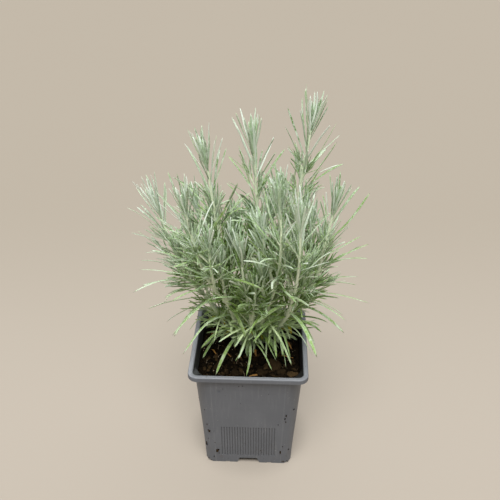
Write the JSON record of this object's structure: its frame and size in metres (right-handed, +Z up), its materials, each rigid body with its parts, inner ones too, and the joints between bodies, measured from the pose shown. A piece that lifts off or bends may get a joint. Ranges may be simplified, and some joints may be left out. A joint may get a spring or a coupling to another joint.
{
  "type": "potted curry plant",
  "caption": "Curry plant in a square nursery pot: leafy silver-green stems with narrow needle-like leaves, rooted in compost; stands on the pot's feet.",
  "frame": {"origin": "on the pot's axis, at the level of the feet that it stands on, which is the bottom centre of the whole plant's box", "axes": "+Z up, -Y towards the pot's front face, +X to the right as seen from the front"},
  "size_m": [0.177, 0.1215, 0.3],
  "materials": {
    "pot_plastic": "matte grey injection-moulded polypropylene, paler on the rim, with fine mould grooves",
    "compost": "dark, damp, crumbly peat-like potting compost with bark fibres",
    "foliage": "silver-green, felted with fine pale hairs, on pale woolly stems"
  },
  "bodies": {
    "root": {"pot": "pot_plastic", "compost": "compost", "stem_tall_right": "foliage", "stem_centre": "foliage", "stem_left_centre": "foliage", "stem_left_back": "foliage", "stem_left_front": "foliage", "stem_right_centre": "foliage", "stem_right_front": "foliage", "stem_right": "foliage", "stem_back": "foliage", "stem_back_left": "foliage", "stem_front": "foliage"}
  },
  "joints": []
}
